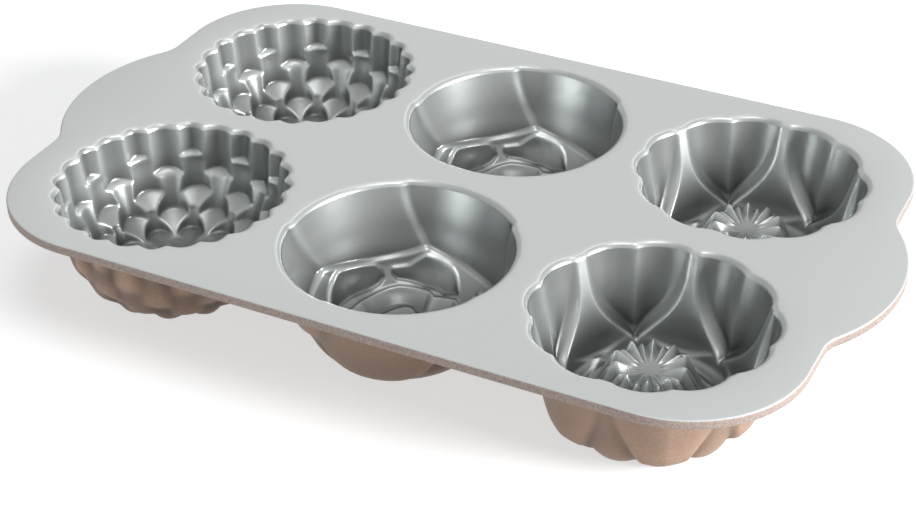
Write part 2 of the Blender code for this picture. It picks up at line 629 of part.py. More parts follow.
def main():
    for old in list(bpy.data.objects):
        bpy.data.objects.remove(old, do_unlink=True)
    pan = new_collection("cakelet_pan")
    tools = new_collection("cutters")
    cups = {"dahlia": dahlia_rings(), "rose": rose_rings(), "lotus": lotus_rings()}
    widest_seat = max(flange for _, flange in cups.values()) + CLEARANCE
    cup_pitch = 2 * widest_seat + CUP_WEB
    row_pitch = 2 * widest_seat + ROW_WEB
    cutters = []
    for (flower, cup), x in zip(cups.items(), (-cup_pitch, 0.0, cup_pitch)):
        for row, y in (("front", -row_pitch / 2), ("rear", row_pitch / 2)):
            build_cup(flower + "_cup_" + row, cup, x, y, pan)
            cutters.append(build_seat_cutter(flower + "_seat_" + row, cup[1] + CLEARANCE, x, y, tools))
    half_length = cup_pitch + widest_seat + END_RIM
    half_width = row_pitch / 2 + widest_seat + SIDE_RIM
    build_deck(half_length, half_width, cutters, pan)


main()
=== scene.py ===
"""Cakelet pan, dressed: the cast pan's deck and its six flower cups, with their coatings, on a pale floor.

The tables below are in millimetres and degrees. Depths are measured down from the deck's top.
Every finished piece stands at the origin, in metres, with its place in its mesh.
"""

import math

import bmesh
import bpy
import numpy as np
from bpy.props import FloatProperty, FloatVectorProperty, IntProperty, PointerProperty
from mathutils import Matrix, Vector


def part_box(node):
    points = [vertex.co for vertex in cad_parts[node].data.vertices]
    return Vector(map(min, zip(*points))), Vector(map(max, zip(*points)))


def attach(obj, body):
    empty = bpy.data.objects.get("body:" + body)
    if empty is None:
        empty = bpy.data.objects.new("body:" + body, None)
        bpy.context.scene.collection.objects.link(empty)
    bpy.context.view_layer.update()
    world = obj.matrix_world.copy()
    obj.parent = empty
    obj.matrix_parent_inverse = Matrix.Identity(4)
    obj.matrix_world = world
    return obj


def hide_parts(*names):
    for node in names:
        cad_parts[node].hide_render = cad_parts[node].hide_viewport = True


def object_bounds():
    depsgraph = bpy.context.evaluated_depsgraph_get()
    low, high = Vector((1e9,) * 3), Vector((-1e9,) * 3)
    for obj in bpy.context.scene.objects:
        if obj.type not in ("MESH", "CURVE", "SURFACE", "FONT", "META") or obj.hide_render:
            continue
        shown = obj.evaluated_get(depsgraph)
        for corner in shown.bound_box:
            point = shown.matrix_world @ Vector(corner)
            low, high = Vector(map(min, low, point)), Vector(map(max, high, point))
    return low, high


bl_info = {
    "name": "Cakelet pan",
    "version": (1, 0, 0),
    "blender": (4, 5, 0),
    "location": "3D View > Sidebar > Cakelet pan",
    "description": "Builds a cast cakelet pan with dahlia, rose and lotus cups, and its stage",
    "category": "Object",
}

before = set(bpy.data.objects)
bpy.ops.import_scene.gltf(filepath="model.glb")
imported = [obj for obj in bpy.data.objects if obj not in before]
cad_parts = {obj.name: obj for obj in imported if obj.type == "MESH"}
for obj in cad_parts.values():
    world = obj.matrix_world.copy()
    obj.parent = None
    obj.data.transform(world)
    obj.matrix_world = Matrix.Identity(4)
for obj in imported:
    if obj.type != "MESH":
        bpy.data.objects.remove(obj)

MM = 0.001
ROWS = ("front", "rear")
PAN_LOW, PAN_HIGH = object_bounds()
DECK_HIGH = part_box("deck_plate")[1]
PAN_HEIGHT = (PAN_HIGH[2] - PAN_LOW[2]) / MM


def cup_place(node):
    """Middle and flange radius of a cup, in millimetres, from its box in the frame."""
    low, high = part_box(node)
    middle_x = (low[0] + high[0]) / 2 / MM
    middle_y = (low[1] + high[1]) / 2 / MM
    return middle_x, middle_y, (high[0] - low[0]) / 2 / MM


# Shared small formulas


def wrap(angle, pitch):
    """Angle from the nearest of the marks that stand a pitch apart."""
    return (angle + pitch / 2) % pitch - pitch / 2


def soft_max(layers, blend):
    """The largest layer at each place, with the meeting edges eased: blend times the log of summed powers."""
    return blend * np.logaddexp.reduce(np.stack(layers) / blend, axis=0)


def soft_min(first, second, blend):
    """The smaller of two layers at each place, with the meeting edge eased."""
    return -blend * np.logaddexp(-first / blend, -second / blend)


def softened(field, passes):
    """The field after passes of a one-two-one average round the rings and along the columns."""
    for _ in range(passes):
        field = (np.roll(field, 1, 1) + 2 * field + np.roll(field, -1, 1)) / 4
        middle = (field[:-2] + 2 * field[1:-1] + field[2:]) / 4
        field = np.vstack([field[:1], middle, field[-1:]])
    return field


HOLLOW_PASSES = 60


def hollows(field):
    """How far each place of a relief lies beyond its surroundings: the field less a wide average of it."""
    return field - softened(field, HOLLOW_PASSES)


class Section:
    """A cup's half section, from the wall's top to the floor's middle, eased by one-two-one averages.

    Its normals point into the metal.
    """

    SAMPLES = 1200

    def __init__(self, points, easing):
        points = np.array(points, float)
        along = np.concatenate(([0.0], np.cumsum(np.hypot(*np.diff(points, axis=0).T))))
        even = np.linspace(0.0, along[-1], self.SAMPLES)
        radius = np.interp(even, along, points[:, 0])
        depth = np.interp(even, along, points[:, 1])
        for _ in range(easing):
            radius[1:-1] = (radius[:-2] + 2 * radius[1:-1] + radius[2:]) / 4
            depth[1:-1] = (depth[:-2] + 2 * depth[1:-1] + depth[2:]) / 4
        self.run = np.concatenate(([0.0], np.cumsum(np.hypot(np.diff(radius), np.diff(depth)))))
        self.length = self.run[-1]
        self.radius, self.depth = radius, depth
        self.out, self.down = np.gradient(depth, self.run), -np.gradient(radius, self.run)

    def at(self, run):
        """Radius, depth, and the outward and downward parts of the normal at each run."""
        curves = (self.radius, self.depth, self.out, self.down)
        return tuple(np.interp(run, self.run, curve) for curve in curves)


# The dahlia: walls and treads of twelve petals in each of six rows

DAHLIA_SECTION = (
    (50.2, 2), (49.2, 13), (46.8, 22), (42.6, 31), (37.5, 38.5), (31.5, 43.8), (23, 46.4), (12, 47.5),
    (0, 47.9),
)
DAHLIA_EASING = 900
DAHLIA_PETALS = 12
DAHLIA_TURN = 143.6
# A row: its peak's radius and depth, its wall's angle and its top's radius, how far it falls to its sides and
# with what power, its half width in degrees, its tread's angle, its foot's depth below the peak, and its turn
DAHLIA_ROWS = (
    (50.2, 13.0, 84, 60.0, 3.4, 1.5, 7.6, 40, 4.4, 0.0),
    (49.3, 21.0, 85, 60.0, 4.6, 1.7, 11.4, 40, 4.8, 0.0),
    (45.4, 29.9, 78, 48.0, 5.4, 2.4, 13.8, 40, 12.5, -2.4),
    (40.4, 38.4, 68, 47.0, 6.8, 2.3, 14.8, 27, 7.8, -1.2),
    (33.6, 45.0, 62, 38.0, 7.6, 2.2, 15.0, 8, 2.4, 0.0),
    (23.5, 46.6, 50, 26.0, 8.0, 2.0, 15.2, 5, 1.2, 0.0),
)
DAHLIA_CREASE = 0.012
DAHLIA_CROWN = 1.4
DAHLIA_BLEND = 0.14
DAHLIA_OUT = (2.0, 3.3)  # how far the outside's petals stand out and down from the inside's
DAHLIA_OUT_BLEND = 0.5


def dahlia_push(degrees, run, section, out, down, blend):
    """Distance from the section to the deepest petal.

    A petal is the least of its wall, its tread and its foot. The wall stands at its radius less a rounded V
    over the angle, and leans in with depth, up to its top. The tread slopes down to the middle from the foot
    of the wall and rises to the petal's sides, and the foot is level. The deepest petal wins.
    """
    radius, depth, n_out, n_down = section.at(run)
    pitch = 360.0 / DAHLIA_PETALS
    petals = []
    for number, (r, d, wall, top, fall, power, half, tread, more, turn) in enumerate(DAHLIA_ROWS):
        phi = wrap(degrees - DAHLIA_TURN - turn - pitch / 2 * (number % 2), pitch)
        across = np.sqrt((phi / half) ** 2 + DAHLIA_CREASE)
        lean = 1 / math.tan(math.radians(wall))
        slope = math.tan(math.radians(tread))
        foot = r + out - fall * across**power
        wall_push = (foot - radius - (depth - d - down) * lean) / (n_out + n_down * lean)
        top_push = (foot + top - r - radius) / np.maximum(n_out, 0.1)
        tread_at = d + down - DAHLIA_CROWN * across**2
        tread_push = (tread_at + (r + out - radius) * slope - depth) / (n_down + n_out * slope)
        foot_push = (d + down + more - depth) / np.maximum(n_down, 0.05)
        wall_push = soft_min(wall_push, top_push, blend)
        petals.append(soft_min(wall_push, soft_min(tread_push, foot_push, 2 * blend), blend))
    return soft_max(petals, blend)


# The rose: five lapping outer petals, five cells of inner ones in their ring, and the wound bud

ROSE_SECTION = ((49.2, 2), (43.6, 22), (38.1, 35.4), (30, 44.3), (15.2, 47.5), (0, 48))
ROSE_EASING = 2500
ROSE_PITCH = 72.0
ROSE_TURN = 43.5
ROSE_TWIST = 13.0
ROSE_TWIST_RUN = 27.0
ROSE_TWIST_END = 40.0
ROSE_TWIST_POWER = 1.7
ROSE_LAPS = (
    (0, 0), (2.2, 0.8), (69.8, 0.8), (74.2, -0.8), (141.8, -0.8), (146.2, 0.8), (213.8, 0.8), (218.2, 0),
    (285.8, 0), (290.2, -0.8), (357.8, -0.8), (360, 0),
)
ROSE_EDGE_RUN = 32.3
ROSE_EDGE_RISE = 5.0
ROSE_PETAL_SET = 1.4
ROSE_PETAL_LEAN = 0.06
ROSE_PETAL_ROUND = 0.4
ROSE_LAP_FADE = (2.0, 6.0)  # where the laps fade out beyond the edge, and over how far
ROSE_EDGE_STEP = 1.7
ROSE_CELL_STEP = 1.3
ROSE_CELL_HALF = 36.0
ROSE_BUD_STEP = 1.5
ROSE_BUD_LEAN = (3.6, 8.0)  # how far the bud leans back out, and over what run
ROSE_HEART_STEP = 1.4
ROSE_HEART_LEAN = (0.8, 12.0)
ROSE_BLEND = 0.2
ROSE_CELLS = ((26, 1), (98, 1), (163, 0), (235, 0), (307, 0))  # each cell's middle and which outline it has
ROSE_CELL_TOPS = (
    ((-36, 50), (-33, 41), (-31, 37), (-27, 34.2), (-11, 32.4), (0, 31.2), (4, 31.8), (19, 38.6), (27, 43),
     (33, 50)),
    ((-33, 50), (-28, 41.5), (-22, 36.1), (-17, 33.4), (-9, 31.6), (0, 30.4), (4, 30.6), (15, 36), (27, 37),
     (31, 50)),
)
ROSE_CELL_FEET = (
    ((-36, 36), (-32, 40.9), (-27, 43.6), (-18, 45.1), (-1, 45), (11, 45), (24, 46), (33, 43)),
    ((-33, 41), (-28, 43.5), (-17, 46.2), (-12, 45.5), (2, 44.9), (16, 43), (24, 42.3), (29, 39)),
)
ROSE_BUD = (
    (0, 47.5), (26, 45.5), (50, 49), (67, 46), (87, 49.5), (94, 47.2), (108, 46.3), (120, 45.5), (129, 46.1),
    (146, 48.2), (170, 49.7), (200, 46), (220, 48.5), (250, 46), (290, 49), (320, 46), (360, 47.5),
)
ROSE_HEART = (
    (0, 61), (40, 57), (85, 62), (99, 59), (107, 56.3), (115, 55.6), (127, 56.8), (137, 57.7), (150, 58.6),
    (175, 62), (215, 57), (260, 62), (300, 57), (340, 60), (360, 61),
)

# Outside the rose: the run of each petal's arc at its lowest, and how far the arc rises to the petal's sides
ROSE_ARCS = (
    (0, 38), (70, 38), (74, 32), (142, 32), (146, 27), (214, 27), (218, 44), (286, 44), (290, 30), (358, 30),
    (360, 38),
)
ROSE_ARC_RISES = (
    (0, 12), (70, 12), (74, 10), (142, 10), (146, 4), (214, 4), (218, 17), (286, 17), (290, 8), (358, 8),
    (360, 12),
)
ROSE_ARC_POWER = 2.6
ROSE_ARC_EASE = 3.0
ROSE_OUT_SET = 1.2
ROSE_OUT_LAPS = 1.2
ROSE_OUT_ROUND = 1.4
ROSE_OUT_STEP = 4.2
ROSE_OUT_LOW = (44.0, 10.0)  # the run where the petals flatten into the foot, and over how far
ROSE_OUT_LOW_SHARE = 0.8
ROSE_WALL = 2.6
ROSE_WALL_END = 40.0
ROSE_DEEPEST = -4.0
ROSE_FOOT = (3.6, 30.0, 8.0)  # how much less deep the foot is, from what depth and over how far


def rose_twist(run):
    """How far the outer petals' sides have turned, in degrees, at a run down the wall: slowly at first."""
    return ROSE_TWIST * (np.minimum(run, ROSE_TWIST_END) / ROSE_TWIST_RUN) ** ROSE_TWIST_POWER


def risen(distance, width):
    """An eased step from nothing to one, centred where the distance is nothing: a logistic curve."""
    return 1 / (1 + np.exp(-4 * np.clip(distance / width, -9, 9)))


def table_round(degrees, table):
    """A periodic table of runs, read at each angle."""
    table = np.array(table, float)
    return np.interp(degrees % 360.0, table[:, 0], table[:, 1])


def rose_outer(degrees, run):
    """The lapping outer petals down to their edge, and how far beyond that edge each place is.

    A petal leans in by a share of its run, is lower by its lap and falls with the fourth power to its sides.
    """
    turned = degrees - ROSE_TURN + rose_twist(run)
    across = np.abs((turned % ROSE_PITCH) / (ROSE_PITCH / 2) - 1.0)
    beyond = run - (ROSE_EDGE_RUN - ROSE_EDGE_RISE * across**2)
    laps = table_round(turned, ROSE_LAPS) * risen(ROSE_LAP_FADE[0] - beyond, ROSE_LAP_FADE[1])
    lean = ROSE_PETAL_LEAN * np.minimum(beyond, 0.0)
    return ROSE_PETAL_SET + lean + laps - ROSE_PETAL_ROUND * across**4, beyond


def rose_push(degrees, run, blend):
    """Relief of the rose as steps towards the middle.

    The wall steps in at the outer petals' edge, at each cell's top and foot, and at the edges of the bud and
    its heart. Between its steps a cell leans back out by as much as it stepped in, and the bud by more.
    """
    outer, beyond = rose_outer(degrees, run)
    push = outer - ROSE_EDGE_STEP * risen(beyond, 5 * blend)
    for middle, kind in ROSE_CELLS:
        phi = wrap(degrees - middle, 360.0)
        top = np.interp(phi, *np.array(ROSE_CELL_TOPS[kind], float).T)
        foot = np.interp(phi, *np.array(ROSE_CELL_FEET[kind], float).T)
        down = np.clip((run - top) / np.maximum(foot - top, 1.0), 0, 1)
        inside = np.where(np.abs(phi) < ROSE_CELL_HALF, soft_min(run - top, foot - run, 2 * blend), -9.0)
        push = push + risen(inside, 5 * blend) * (2 * ROSE_CELL_STEP * down - ROSE_CELL_STEP)
    bud = run - table_round(degrees, ROSE_BUD)
    heart = run - table_round(degrees, ROSE_HEART)
    bud_lean = ROSE_BUD_LEAN[0] * np.clip(bud / ROSE_BUD_LEAN[1], 0, 1)
    heart_lean = ROSE_HEART_LEAN[0] * np.clip(heart / ROSE_HEART_LEAN[1], 0, 1)
    push = push + risen(bud, 5 * blend) * (-ROSE_BUD_STEP + bud_lean)
    return push + risen(heart, 4 * blend) * (-ROSE_HEART_STEP - heart_lean)


def rose_outside(degrees, run, core):
    """The outside: bulging outer petals that stand out by turns, each ending in an arc at its own depth.

    Below the arc the metal steps in, but stays a wall's thickness outside the cup's inner petals.
    """
    turned = degrees - ROSE_TURN + rose_twist(np.minimum(run, ROSE_TWIST_RUN))
    across = np.abs((turned % ROSE_PITCH) / (ROSE_PITCH / 2) - 1.0)
    past = run - table_round(turned, ROSE_ARCS) + table_round(turned, ROSE_ARC_RISES) * across**ROSE_ARC_POWER
    laps = ROSE_OUT_LAPS * table_round(turned, ROSE_LAPS)
    low = np.clip((run - ROSE_OUT_LOW[0]) / ROSE_OUT_LOW[1], 0, 1)
    stepped = (ROSE_OUT_STEP + laps) * (1 - ROSE_OUT_LOW_SHARE * low) * risen(past, ROSE_ARC_EASE)
    push = (ROSE_OUT_SET + laps - ROSE_OUT_ROUND * across**4) * (1 - low) - stepped
    section = Section(ROSE_SECTION, ROSE_EASING)
    radius, depth, out, _ = core.at(run)
    inside = np.interp(depth, section.depth, section.radius)
    least_radius = inside + ROSE_WALL + table_round(turned, ROSE_LAPS)
    nearest = np.where(depth < ROSE_WALL_END, (least_radius - radius) / np.maximum(out, 0.5), ROSE_DEEPEST)
    shallower, start, span = ROSE_FOOT
    least = ROSE_DEEPEST + shallower * np.clip((depth - start) / span, 0, 1)
    return np.maximum(np.maximum(push, nearest), least)


def ledge(above, ease):
    """Nothing above a petal's tip and one for one below it, with an eased corner."""
    return ease * np.logaddexp(0.0, -above / ease)


# The lotus: creased outer petals over inner and low ones, round a raised star

LOTUS_SECTION = (
    (48.7, 2), (39.0, 38.8), (36.0, 44.9), (31.0, 48.0), (27.0, 47.5), (17.0, 28.6), (14.5, 25.1),
    (12.5, 25.9), (4.9, 28.4), (0, 28.6),
)
LOTUS_EASING = 500
LOTUS_OUT_EASING = 2000
LOTUS_PITCH = 60.0
LOTUS_WALL_RUN = 47.0
LOTUS_HALF = 26.5
LOTUS_LEAST_HALF = 1.5
LOTUS_TIP = 0.83
LOTUS_POWER = 3.2
LOTUS_INNER_TIP = 0.79
LOTUS_INNER_POWER = 2.6
LOTUS_BAND = (3.0, 0.3)  # the band's width in degrees, and the share of the wall where it has grown
LOTUS_BAND_FALL = (0.4, 2.0)  # how far it slopes in at the top, and how much more by the foot
LOTUS_OUTER = (1.4, 3.0)  # how deep an outer petal lies at the top, and how much more by the foot
LOTUS_CREASE = (2.2, 0.5)  # its crease's depth at the top, and the share of it that is lost by the foot
LOTUS_OUTER_SLOPE = 1.6
LOTUS_INNER = (-1.3, 0.4, 0.4, 1.5)  # an inner petal's level, its growth with depth, its round and its slope
LOTUS_INNER_RUN = (43.5, 6.0, 0.5)  # its tip's run, its rise to the sides and its easing
LOTUS_LOW = (-2.2, 1.2, 2.0, 1.2)
LOTUS_LOW_RUN = (50.0, 3.0, 0.8)
LOTUS_WEB = -3.4
LOTUS_FLOOR_SPAN = 9.0
LOTUS_BLEND = 0.12


def lotus_edge(share):
    """Half width of an outer petal in degrees, closing with a power of the way to its tip."""
    return LOTUS_HALF * (1 - np.clip(share / LOTUS_TIP, 0, 1) ** LOTUS_POWER)


def lotus_band(share, offset):
    """How far across the sloping band at an outer petal's edge a place is, from its inner line outwards."""
    inner = LOTUS_HALF * (1 - np.clip(share / LOTUS_INNER_TIP, 0, 1) ** LOTUS_INNER_POWER)
    inner = inner - LOTUS_BAND[0] * np.clip(share / LOTUS_BAND[1], 0, 1)
    return np.clip((offset - inner) / np.maximum(lotus_edge(share) - inner, LOTUS_LEAST_HALF), 0, 1)


def rounded_petal(run, growth, across, sizes, runs):
    """A petal whose level grows with depth, rounded to its sides and falling away below its curved tip."""
    level, more, round_off, slope = sizes
    tip, rise, ease = runs
    return level + more * growth - round_off * across**2 - slope * ledge(tip - rise * across**2 - run, ease)


def lotus_push(degrees, run, radius, blend):
    """Relief of the lotus: the deepest of its outer, inner and low petals and the web between them.

    An outer petal is creased down its middle, has a sloping band at its edge and falls away beyond it. The
    web rises to the floor's level under the star.
    """
    share = run / LOTUS_WALL_RUN
    offset = np.abs(wrap(degrees, LOTUS_PITCH))
    edge = lotus_edge(share)
    lobe = (offset - edge / 2) / np.maximum(edge / 2, LOTUS_LEAST_HALF)
    below_tip = np.maximum(share - LOTUS_TIP, 0.0) * LOTUS_WALL_RUN
    beyond = np.radians(np.maximum(offset - edge, 0.0)) * radius + below_tip
    crease = LOTUS_CREASE[0] * (1 - LOTUS_CREASE[1] * share) * np.clip(lobe, -1, 1) ** 2
    band = (LOTUS_BAND_FALL[0] + LOTUS_BAND_FALL[1] * share) * lotus_band(share, offset)
    outer = LOTUS_OUTER[0] + LOTUS_OUTER[1] * share - crease - band - LOTUS_OUTER_SLOPE * beyond
    between = np.abs(wrap(degrees - LOTUS_PITCH / 2, LOTUS_PITCH)) / (LOTUS_PITCH / 2)
    inner = rounded_petal(run, share, between, LOTUS_INNER, LOTUS_INNER_RUN)
    low = rounded_petal(run, share, offset / (LOTUS_PITCH / 2), LOTUS_LOW, LOTUS_LOW_RUN)
    deepest = soft_max([outer, inner, low, np.full_like(outer, LOTUS_WEB)], blend)
    return deepest - LOTUS_WEB * np.clip((run - LOTUS_WALL_RUN) / LOTUS_FLOOR_SPAN, 0, 1)


# Outside the lotus, in the same terms
LOTUS_OUT_FACET = (3.6, 0.08)  # an outer petal's level at its middle, and its fall with each degree aside
LOTUS_OUT_SLOPE = 4.0
LOTUS_OUT_CUT = (39.5, 0.2)  # the run where the facets are cut off, and the cut's easing
LOTUS_OUT_DELAY = (7.2, 39.0, 1.1)  # how far the outside's petals close later than the inside's, by run
LOTUS_OUT_INNER = (0.9, 0.0, 7.5, 1.3)
LOTUS_OUT_INNER_RUN = (45.0, 9.0, 1.2)
LOTUS_OUT_LOW = (0.3, 0.0, 9.0, 1.2)
LOTUS_OUT_LOW_RUN = (54.0, 9.0, 1.2)
LOTUS_OUT_WEB = -3.6
LOTUS_OUT_BLEND = 0.1


def lotus_outside(degrees, run, radius):
    """The outside: creased outer petals cut off low down, round lobes between them and small ones beneath."""
    offset = np.abs(wrap(degrees, LOTUS_PITCH))
    later, reach, most = LOTUS_OUT_DELAY
    share = (run - later * np.clip(run / reach, 0, most) ** 3) / LOTUS_WALL_RUN
    beyond = np.radians(np.maximum(offset - lotus_edge(share), 0.0)) * radius
    cut = LOTUS_OUT_SLOPE * ledge(LOTUS_OUT_CUT[0] - run, LOTUS_OUT_CUT[1])
    facet = LOTUS_OUT_FACET[0] - LOTUS_OUT_FACET[1] * offset - LOTUS_OUT_SLOPE * beyond - cut
    between = np.abs(wrap(degrees - LOTUS_PITCH / 2, LOTUS_PITCH)) / (LOTUS_PITCH / 2)
    inner = rounded_petal(run, share, between, LOTUS_OUT_INNER, LOTUS_OUT_INNER_RUN)
    low = rounded_petal(run, share, offset / (LOTUS_PITCH / 2), LOTUS_OUT_LOW, LOTUS_OUT_LOW_RUN)
    return soft_max([facet, inner, low, np.full_like(facet, LOTUS_OUT_WEB)], LOTUS_OUT_BLEND)


STAR_TURN = 35.0
STAR_PITCH = 36.0
STAR_TOOTH = (4.4, 11.0)  # a long tooth's height, and its half width in degrees
STAR_PLEAT = (1.8, 7.0)
STAR_SET = 2.0
STAR_HUB = 4.0
STAR_GROWTH = (11.0, 1.2)  # how far beyond the hub the teeth grow to their height, and with what power
STAR_RADIUS = 15.5
STAR_SKIRT = 13.0
STAR_RUN = 40.0


def star_height(degrees, radius):
    """What the star adds to the floor: long teeth, small pleats between them and a smooth hub.

    Teeth and pleats are tents over the angle; they grow with a power of the way out and fade along the skirt.
    """
    tooth = np.maximum(1 - np.abs(wrap(degrees - STAR_TURN, STAR_PITCH)) / STAR_TOOTH[1], 0)
    half_turned = degrees - (STAR_TURN + STAR_PITCH / 2)
    pleat = np.maximum(1 - np.abs(wrap(half_turned, STAR_PITCH)) / STAR_PLEAT[1], 0)
    grow = np.clip((radius - STAR_HUB) / STAR_GROWTH[0], 0, 1) ** STAR_GROWTH[1]
    skirt = np.clip(1 - (radius - STAR_RADIUS) / STAR_SKIRT, 0, 1)
    return (STAR_TOOTH[0] * tooth + STAR_PLEAT[0] * pleat - STAR_SET) * grow * skirt


# Surfaces

LIP_STEPS = 8
LIP_COATED = 5  # how many rings, back from the flange's foot, have the deck's finish
SEAT_GAP = 0.15  # by how much a drawn flange is wider than the solid's, which closes the seam at its seat
UNDER_GAP = 0.4
SHARP_ANGLE = math.radians(80)
INNER_POLE = 6.0
OUTER_POLE = 10.0
TOP_RUN = 6.0
FOOT_DEPTHS = (30.0, 20.0)  # from what depth the outside is brought to the rest plane, and over how far


def lip_and_flange(top_radius, flange, bore_depth, steps, lip):
    """Rings from the wall's top over a quarter-round lip, out to the flange's edge and down its side.

    The lip is a quarter circle over each angle; the flange is level and its side is upright.
    """
    turn = np.linspace(0, math.pi / 2, steps + 1)[1:, None]
    lip_radius = top_radius + lip * (1 - np.cos(turn))
    lip_depth = lip * (1 - np.sin(turn)) + 0 * top_radius
    edge = np.full((2, top_radius.size), flange)
    return np.vstack([lip_radius, edge]), np.vstack([lip_depth, 0 * edge[:1], 0 * edge[:1] + bore_depth])


def wrapped_mesh(name, x, y, z, hollow, starts, finishes):
    """A closed mesh over rings of points, with a point at each end.

    Ring by ring, each quad joins two neighbours on one ring to the two below them, and fans close the ends.
    Finish n begins at the ring that starts[n] names, and reads how hollow the metal is from an attribute.
    """
    rings, columns = x.shape
    ends = np.array([[x[0].mean(), y[0].mean(), z[0].mean()], [x[-1].mean(), y[-1].mean(), z[-1].mean()]])
    points = np.vstack([ends[:1], np.stack([x, y, z], -1)[1:-1].reshape(-1, 3), ends[1:]])
    index = 1 + np.arange((rings - 2) * columns).reshape(rings - 2, columns)
    beside = np.roll(index, -1, 1)
    quads = np.stack([index[:-1], index[1:], beside[1:], beside[:-1]], -1).reshape(-1, 4)
    start = np.stack([np.zeros(columns, int), index[0], beside[0]], -1)
    close = np.stack([np.full(columns, len(points) - 1), beside[-1], index[-1]], -1)
    mesh = bpy.data.meshes.new(name)
    mesh.from_pydata(points.tolist(), [], start.tolist() + quads.tolist() + close.tolist())
    between = np.repeat(np.arange(1, rings - 2), columns)
    ring_of = np.concatenate([np.zeros(columns), between, np.full(columns, rings)])
    for finish in finishes:
        mesh.materials.append(finish)
    slots = np.searchsorted(np.array(starts), ring_of, side="right") - 1
    mesh.polygons.foreach_set("material_index", slots.astype(np.int32))
    # the hollow attribute drives the finishes' painted shade in hollows and painted highlight on proud places
    shade = mesh.attributes.new("hollow", "FLOAT", "POINT")
    shade.data.foreach_set("value", np.concatenate([[0.0], hollow[1:-1].ravel(), [0.0]]).astype(np.float32))
    mesh.shade_smooth()
    mesh.set_sharp_from_angle(angle=SHARP_ANGLE)
    mesh.validate()
    mesh.update()
    return mesh


def link_piece(name, mesh, node):
    """Put a finished mesh into the scene in place of its node in the frame."""
    piece = bpy.data.objects.new(name, mesh)
    bpy.context.scene.collection.objects.link(piece)
    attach(piece, "root")
    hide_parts(node)
    return piece


def cup_surface(flower, columns, rings, flange, sizes):
    """Radius, angle, depth and hollow of a cup's points, from the inner middle over the lip to the outer one.

    The inside is its section pushed along the normals by the flower's relief, which settles to its mean near
    the middle. The rings where each finish begins come last.
    """
    even = np.arange(columns) * 360.0 / columns
    thickness = sizes.deck_thickness / MM
    lip = sizes.lip_radius / MM
    if flower == "dahlia":
        section = Section(DAHLIA_SECTION, DAHLIA_EASING)
        run = np.outer(np.linspace(0, section.length, rings), np.ones(columns))
        degrees = np.tile(even, (rings, 1))
        push = dahlia_push(degrees, run, section, 0.0, 0.0, DAHLIA_BLEND)
    elif flower == "rose":
        section = Section(ROSE_SECTION, ROSE_EASING)
        run = np.outer(np.linspace(0, section.length, rings), np.ones(columns))
        degrees = even - rose_twist(np.minimum(run, ROSE_TWIST_RUN)) + ROSE_TURN
        push = rose_push(degrees, run, ROSE_BLEND)
    else:
        section = Section(LOTUS_SECTION, LOTUS_EASING)
        run = np.outer(np.linspace(0, section.length, rings), np.ones(columns))
        degrees = np.tile(even, (rings, 1))
        push = lotus_push(degrees, run, section.at(run)[0], LOTUS_BLEND)
    radius, depth, n_out, n_down = section.at(run)
    keep = np.clip(radius / INNER_POLE, 0, 1)
    keep = keep**2 * (3 - 2 * keep)
    push = push * keep + (1 - keep) * push.mean(axis=1, keepdims=True)
    push = softened(push, 1)
    hollow = hollows(push)
    n_down = n_down * np.clip(run / TOP_RUN, 0, 1)
    inner_radius = np.maximum(radius + n_out * push, 0.0)
    inner_depth = depth + n_down * push
    if flower == "lotus":
        star = star_height(degrees, inner_radius) * (run > STAR_RUN)
        inner_depth = inner_depth - star
        hollow = hollow - hollows(star)
    inner_radius[-1] = 0.0
    out_radius, out_depth, out_degrees, out_hollow = outer_surface(flower, degrees, rings // 3, sizes)
    over_radius, over_depth = lip_and_flange(inner_radius[0], flange, thickness, LIP_STEPS, lip)
    all_radius = np.vstack([inner_radius[::-1], over_radius, out_radius])
    all_depth = np.vstack([inner_depth[::-1], over_depth, out_depth])
    top = np.tile(degrees[:1], (len(over_radius), 1))
    all_degrees = np.vstack([degrees[::-1], top, out_degrees])
    fading = np.outer(np.linspace(1, 0, len(over_radius)), hollow[0])
    all_hollow = np.vstack([hollow[::-1], fading, out_hollow])
    foot = rings + len(over_radius)
    return all_radius, all_degrees, all_depth, all_hollow, (0, foot - LIP_COATED, foot - 1)


DAHLIA_CORE = (
    (52.4, 4.5), (51.2, 15), (48.8, 24.5), (44.6, 33.6), (39.8, 41.2), (33.8, 47.4), (24.5, 50.7), (12, 51.8),
    (0, 52.0),
)
ROSE_CORE = ((51.2, 4.5), (47.4, 20), (43.4, 32), (39.8, 39.6), (34, 45.8), (24.5, 50.1), (12, 51.7), (0, 52))
LOTUS_CORE = (
    (50.6, 4.5), (45.6, 22), (42.0, 37), (39.5, 43), (35, 48.4), (27, 51.0), (19, 47), (12, 40), (0, 37.5),
)


